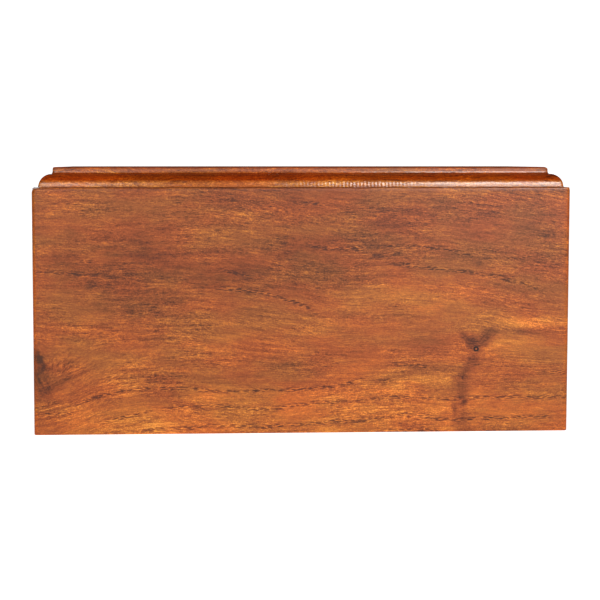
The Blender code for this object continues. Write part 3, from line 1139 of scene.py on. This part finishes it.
def model_wall(node, sizes, chips=()):
    """A wall board over its solid: rounded outer edges, rebate for the base and a rim that wanders."""
    low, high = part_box(node)
    piece = add_block(node + "_wood", low, high)
    cut_base_rebate(piece)
    outward = outer_level(low, high)

    def upright(edge):
        met = {axis for axis, level in outward if edge_on(edge, axis, level)}
        return {0, 1} <= met

    def outline(level):
        def test(edge):
            if not edge_on(edge, 2, level):
                return False
            first, second = (vert.co for vert in edge.verts)
            slanted = abs(first.x - second.x) > ON_PLANE and abs(first.y - second.y) > ON_PLANE
            near_corner = abs((first.x + second.x) / 2) > abs(low.x) - 2 * sizes.upright_round
            return any(edge_on(edge, axis, place) for axis, place in outward) or (slanted and near_corner)

        return test

    pick(piece, "EDGE", upright)
    round_picked(sizes.upright_round, UPRIGHT_SEGMENTS)
    pick(piece, "EDGE", outline(high.z))
    round_picked(sizes.rim_round, RIM_SEGMENTS)
    pick(piece, "EDGE", outline(low.z))
    round_picked(sizes.foot_round, FOOT_SEGMENTS)

    foot_support = low.z + 4 * sizes.foot_round
    roll_cuts = [high.z - sizes.rim_roll_height * share for share in ROLL_CUTS]
    cut_across(piece, 2, [foot_support, *roll_cuts])
    long_axis = 0 if high.x - low.x > high.y - low.y else 1
    cut_across(piece, long_axis, even_places(low[long_axis], high[long_axis], sizes.cut_spacing))

    def outside_gap(point):
        return min(abs(point[axis] - level) for axis, level in outward)

    def near_rim(point):
        drop = high.z - point.z
        return 1.0 if drop < 1.3 * sizes.rim_round and outside_gap(point) < 1.3 * sizes.rim_round else 0.0

    def rolled(point):
        rise = 1 - (high.z - point.z) / sizes.rim_roll_height
        return max(0.0, rise) ** 2 if outside_gap(point) < 1.3 * sizes.rim_round else 0.0

    for axis, level in outward:
        roll = edge_weights(piece, f"roll {axis} {level:.2f}", rolled_towards(axis, level, rolled))
        displace(piece, roll, -sizes.rim_roll * math.copysign(1, level), direction="XYZ"[axis])
    wander(piece, edge_weights(piece, "rim", near_rim), sizes.edge_wave, RIM_WAVE)
    for number, (along, reach, share) in enumerate(chips):

        def near_chip(point, along=along, reach=reach, share=share):
            return near_rim(point) * share * max(0.0, 1 - ((point[long_axis] - along) / reach) ** 2)

        displace(piece, edge_weights(piece, f"chip {number}", near_chip), -sizes.chip_depth)
    if chips:
        corner = (low.x, low.y, high.z)

        def near_corner(point):
            off = math.dist((point.x, point.y, point.z), corner)
            return max(0.0, 1 - off / CORNER_REACH) ** 1.5

        worn = edge_weights(piece, "worn corner", near_corner)
        displace(piece, worn, sizes.corner_wear, direction="X")
        displace(piece, worn, -CORNER_DROP * sizes.corner_wear, direction="Z")
    return piece


def model_base(sizes):
    """The base board, chamfered round its underside."""
    piece = add_block("base_board_wood", BASE_LOW, BASE_HIGH)
    pick(piece, "EDGE", lambda edge: edge_on(edge, 2, BASE_LOW.z))
    round_picked(sizes.base_chamfer, 2)
    return piece


def quarter(steps):
    """Cosine and sine of evenly spaced turns from 0 to a right angle."""
    return [(math.cos(math.pi / 2 * s / steps), math.sin(math.pi / 2 * s / steps)) for s in range(steps + 1)]


def lid_rows(sizes):
    """The lid's outline from below to the top as rows (front inset, left inset, right inset, height).

    Insets are from the outside of the walls. The left end of the top step is crisper than the right."""
    seat = RIM + sizes.lid_gap
    panel = WALL + PANEL_CLEARANCE
    rows = [
        (panel + PANEL_CHAMFER,) * 3 + (LID_LOW.z,),
        (panel,) * 3 + (LID_LOW.z + PANEL_CHAMFER,),
        (panel,) * 3 + (seat,),
        (sizes.lid_setback + SEAT_CHAMFER,) * 3 + (seat,),
        (sizes.lid_setback,) * 3 + (seat + SEAT_CHAMFER,),
    ]
    foot = seat + sizes.lid_fillet
    for cosine, sine in quarter(sizes.ovolo_segments):
        inset = sizes.lid_setback + sizes.ovolo_radius * (1 - cosine)
        left = inset + sizes.left_wear * (1.0 + 2 * sine * cosine)
        rows.append((inset, left, inset + sizes.right_wear, foot + sizes.ovolo_height * sine))
    ledge = foot + sizes.ovolo_height
    step = step_inset(sizes)
    for cosine, sine in quarter(COVE_SEGMENTS):
        inset = step - sizes.ovolo_ledge * (1 - sine)
        rows.append((inset, inset, inset + sizes.right_wear, ledge + sizes.cove_height * (1 - cosine)))
    for cosine, sine in quarter(STEP_SEGMENTS):
        curve = sizes.step_round * (1 - cosine)
        height = LID_HIGH.z - sizes.step_round * (1 - sine)
        left = step + LEFT_STEP_SHARE * curve
        right = step + sizes.right_wear + RIGHT_STEP_SHARE * curve
        rows.append((step + curve, left, right, height))
    return rows


def step_inset(sizes):
    """How far the top step stands in from the outside of the walls."""
    return sizes.lid_setback + sizes.ovolo_radius + sizes.ovolo_ledge


def lid_size(row):
    """Width, depth and middle of the lid at a row of its outline."""
    front, left, right, _ = row
    low, high = CAD_BOX
    return high.x - low.x - left - right, high.y - low.y - 2 * front, (left - right) / 2


def add_sheet(name, middle, width, depth):
    """A level sheet with its place in its mesh."""
    bpy.ops.object.select_all(action="DESELECT")
    bpy.ops.mesh.primitive_plane_add(size=1, location=middle)
    sheet = bpy.context.object
    sheet.name = sheet.data.name = name
    sheet.scale = (width, depth, 1)
    bpy.ops.object.transform_apply(location=True, rotation=True, scale=True)
    return sheet


def model_lid(sizes):
    """The lid: a rounded rectangle extruded and resized up its moulded outline, row by row."""
    rows = lid_rows(sizes)
    width, depth, centre = lid_size(rows[0])
    height = rows[0][3]
    piece = add_sheet("lid_wood", (0, 0, height), width, depth)
    pick(piece, "VERT", lambda vert: True)
    bpy.ops.mesh.bevel(offset=LID_CORNER, segments=3, affect="VERTICES", clamp_overlap=False)
    bpy.ops.mesh.select_mode(type="FACE")
    bpy.ops.mesh.select_all(action="SELECT")
    shift = sizes.lid_shift
    bpy.ops.transform.translate(value=(shift, 0, 0))
    for row in rows[1:]:
        next_width, next_depth, next_centre = lid_size(row)
        move = (next_centre - centre, 0, row[3] - height)
        bpy.ops.mesh.extrude_region_move(TRANSFORM_OT_translate={"value": move})
        middle = (next_centre + shift, 0, row[3])
        bpy.ops.transform.resize(value=(next_width / width, next_depth / depth, 1), center_override=middle)
        width, depth, height, centre = next_width, next_depth, row[3], next_centre
    bpy.ops.mesh.select_all(action="SELECT")
    bpy.ops.mesh.normals_make_consistent(inside=False)
    leave_edit()
    cut_across(piece, 0, even_places(LID_LOW.x, LID_HIGH.x, sizes.cut_spacing))
    cut_across(piece, 1, even_places(LID_LOW.y, LID_HIGH.y, 2 * sizes.cut_spacing))

    def on_step_edge(point):
        high_up = point.z > LID_HIGH.z - 1.2 * sizes.step_round
        return 1.0 if high_up and lid_edge_distance(point, sizes) < 1.5 * sizes.step_round else 0.0

    wander(piece, edge_weights(piece, "step edge", on_step_edge), 0.6 * sizes.edge_wave, LID_WAVE)
    return piece


def lid_edge_distance(point, sizes):
    """How far in from the top step's outline a point lies."""
    half_width = CAD_BOX[1].x - step_inset(sizes) + sizes.lid_shift
    half_depth = CAD_BOX[1].y - step_inset(sizes)
    return min(half_width - abs(point.x), half_depth - abs(point.y))


# Studio


# Softboxes as name, place, width and height, which of the studio's glows, and how much of it
SOFTBOXES = (
    ("right_softbox", (0.39, -1.25, 0.38), (0.44, 0.44), "right_glow", 1.0),
    ("right_strip", (0.39, -1.15, 0.73), (0.44, 0.26), "right_glow", 2.0),
    ("left_softbox", (-0.43, -1.25, 0.50), (0.46, 0.66), "left_glow", 1.0),
)


def add_softbox(name, place, aim, size, glow):
    """A rectangular light of a given radiance that faces a point and that the camera doesn't see."""
    data = bpy.data.lights.new(name, "AREA")
    data.shape = "RECTANGLE"
    data.size, data.size_y = size
    data.energy = glow * size[0] * size[1] * math.pi
    light = bpy.data.objects.new(name, data)
    light.location = place
    direction = [b - a for a, b in zip(place, aim)]
    light.rotation_euler = Vector(direction).to_track_quat("-Z", "Y").to_euler()
    light.visible_camera = False
    bpy.context.scene.collection.objects.link(light)


def stage_material(colours, studio):
    """Matte white, lit to pure white as the camera sees it, and see-through from below."""
    material, tree, shader = new_material("studio sweep")
    shader.inputs["Base Color"].default_value = (*colours.floor, 1.0)
    shader.inputs["Roughness"].default_value = 0.9
    shader.inputs["Specular IOR Level"].default_value = 0.0
    shader.inputs["Emission Color"].default_value = (1.0, 1.0, 1.0, 1.0)
    seen = add_node(tree, "ShaderNodeLightPath").outputs["Is Camera Ray"]
    tree.links.new(ramp(tree, seen, 0.0, 1.0, studio.floor_glow, 1.0), shader.inputs["Emission Strength"])
    clear = add_node(tree, "ShaderNodeBsdfTransparent")
    behind = add_node(tree, "ShaderNodeNewGeometry").outputs["Backfacing"]
    mixed = add_node(tree, "ShaderNodeMixShader", {0: behind, 1: shader.outputs[0], 2: clear.outputs[0]})
    tree.links.new(mixed.outputs[0], tree.nodes["Material Output"].inputs["Surface"])
    return material


def model_sweep(material):
    """Floor and backdrop in one sheet, bent up behind the box in a wide curve."""
    sweep = add_sheet("studio_sweep", (0, -2, 0), 12, 8)
    back, radius, steps = 2.0, 0.8, 12
    pick(sweep, "EDGE", lambda edge: edge_on(edge, 1, back))
    for step in range(1, steps + 1):
        before, after = (math.pi / 2 * s / steps for s in (step - 1, step))
        move = (0, radius * (math.sin(after) - math.sin(before)), radius * (math.cos(before) - math.cos(after)))
        bpy.ops.mesh.extrude_region_move(TRANSFORM_OT_translate={"value": move})
    bpy.ops.mesh.extrude_region_move(TRANSFORM_OT_translate={"value": (0, 0, 0.5)})
    leave_edit()
    select_only(sweep)
    bpy.ops.object.shade_smooth_by_angle(angle=SMOOTH_ANGLE)
    sweep.data.materials.append(material)


# Operators


class URN_OT_front_board(bpy.types.Operator):
    """Model the front board with its knot and its chipped rim"""

    bl_idname = "urn.front_board"
    bl_label = "Front Board"

    def execute(self, context):
        piece = model_wall("front_board", context.scene.urn_sizes, RIM_CHIPS)
        finish_piece(piece, "front_board", front_material(context.scene.urn_colours))
        return {"FINISHED"}


class URN_OT_back_board(bpy.types.Operator):
    """Model the back board"""

    bl_idname = "urn.back_board"
    bl_label = "Back Board"

    def execute(self, context):
        piece = model_wall("back_board", context.scene.urn_sizes)
        material = board_material("back rosewood", context.scene.urn_colours)
        finish_piece(piece, "back_board", material)
        return {"FINISHED"}


class URN_OT_side_boards(bpy.types.Operator):
    """Model the two side boards between the front and the back"""

    bl_idname = "urn.side_boards"
    bl_label = "Side Boards"

    def execute(self, context):
        for side in ("left", "right"):
            piece = model_wall(f"{side}_side_board", context.scene.urn_sizes)
            material = board_material(f"{side} side rosewood", context.scene.urn_colours)
            finish_piece(piece, f"{side}_side_board", material)
        return {"FINISHED"}


class URN_OT_base_board(bpy.types.Operator):
    """Model the base board in its rebate"""

    bl_idname = "urn.base_board"
    bl_label = "Base Board"

    def execute(self, context):
        piece = model_base(context.scene.urn_sizes)
        material = board_material("base rosewood", context.scene.urn_colours)
        finish_piece(piece, "base_board", material)
        return {"FINISHED"}


class URN_OT_lid(bpy.types.Operator):
    """Model the moulded lid"""

    bl_idname = "urn.lid"
    bl_label = "Lid"

    def execute(self, context):
        colours = context.scene.urn_colours
        sizes = context.scene.urn_sizes
        piece = model_lid(sizes)
        finish_piece(piece, "lid", board_material("lid moulding rosewood", colours))
        piece.data.materials.append(board_material("lid top rosewood", colours))
        step = RIM + sizes.lid_gap + sizes.lid_fillet + sizes.ovolo_height + sizes.cove_height
        pick(piece, "FACE", lambda face: face.calc_center_median().z > step)
        piece.active_material_index = 1
        bpy.ops.object.material_slot_assign()
        leave_edit()
        return {"FINISHED"}


class URN_OT_stage(bpy.types.Operator):
    """Set up the floor, the lights and the camera"""

    bl_idname = "urn.stage"
    bl_label = "Stage"

    def execute(self, context):
        scene = context.scene
        studio = scene.urn_studio
        model_sweep(stage_material(scene.urn_colours, studio))
        middle = (0, 0, RIM / 2)
        for name, place, size, glow, share in SOFTBOXES:
            add_softbox(name, place, middle, size, share * getattr(studio, glow))
        world = bpy.data.worlds.new("studio")
        world.use_nodes = True
        tree = world.node_tree
        seen = add_node(tree, "ShaderNodeLightPath").outputs["Is Camera Ray"]
        glow = ramp(tree, seen, 0.0, 1.0, studio.ambient, 1.0)
        tree.links.new(glow, tree.nodes["Background"].inputs["Strength"])
        tree.nodes["Background"].inputs["Color"].default_value = (1.0, 1.0, 1.0, 1.0)
        scene.world = world
        data = bpy.data.cameras.new("camera")
        data.lens = studio.lens
        data.sensor_width = 36.0
        data.clip_start = 0.01
        data.clip_end = 50.0
        camera = bpy.data.objects.new("camera", data)
        camera.location = studio.camera_place
        camera.rotation_euler = (math.pi / 2 - studio.camera_pitch, 0.0, -studio.camera_turn)
        scene.collection.objects.link(camera)
        scene.camera = camera
        scene.view_settings.view_transform = "Standard"
        scene.view_settings.look = "None"
        return {"FINISHED"}


class URN_PT_panel(bpy.types.Panel):
    """Lists the pieces of the urn box in the order that they are made"""

    bl_idname = "URN_PT_panel"
    bl_label = "Urn Box"
    bl_space_type = "VIEW_3D"
    bl_region_type = "UI"
    bl_category = "Urn Box"

    def draw(self, context):
        for operator in PIECE_OPERATORS:
            self.layout.operator(operator.bl_idname)


PIECE_OPERATORS = (
    URN_OT_front_board,
    URN_OT_back_board,
    URN_OT_side_boards,
    URN_OT_base_board,
    URN_OT_lid,
    URN_OT_stage,
)
CLASSES = (UrnSizes, UrnColours, UrnStudio, *PIECE_OPERATORS, URN_PT_panel)


def register():
    for listed in CLASSES:
        bpy.utils.register_class(listed)
    bpy.types.Scene.urn_sizes = PointerProperty(type=UrnSizes)
    bpy.types.Scene.urn_colours = PointerProperty(type=UrnColours)
    bpy.types.Scene.urn_studio = PointerProperty(type=UrnStudio)


def unregister():
    del bpy.types.Scene.urn_studio
    del bpy.types.Scene.urn_colours
    del bpy.types.Scene.urn_sizes
    for listed in reversed(CLASSES):
        bpy.utils.unregister_class(listed)


def main():
    register()
    bpy.ops.urn.front_board()
    bpy.ops.urn.back_board()
    bpy.ops.urn.side_boards()
    bpy.ops.urn.base_board()
    bpy.ops.urn.lid()
    bpy.ops.urn.stage()


if __name__ == "__main__":
    main()
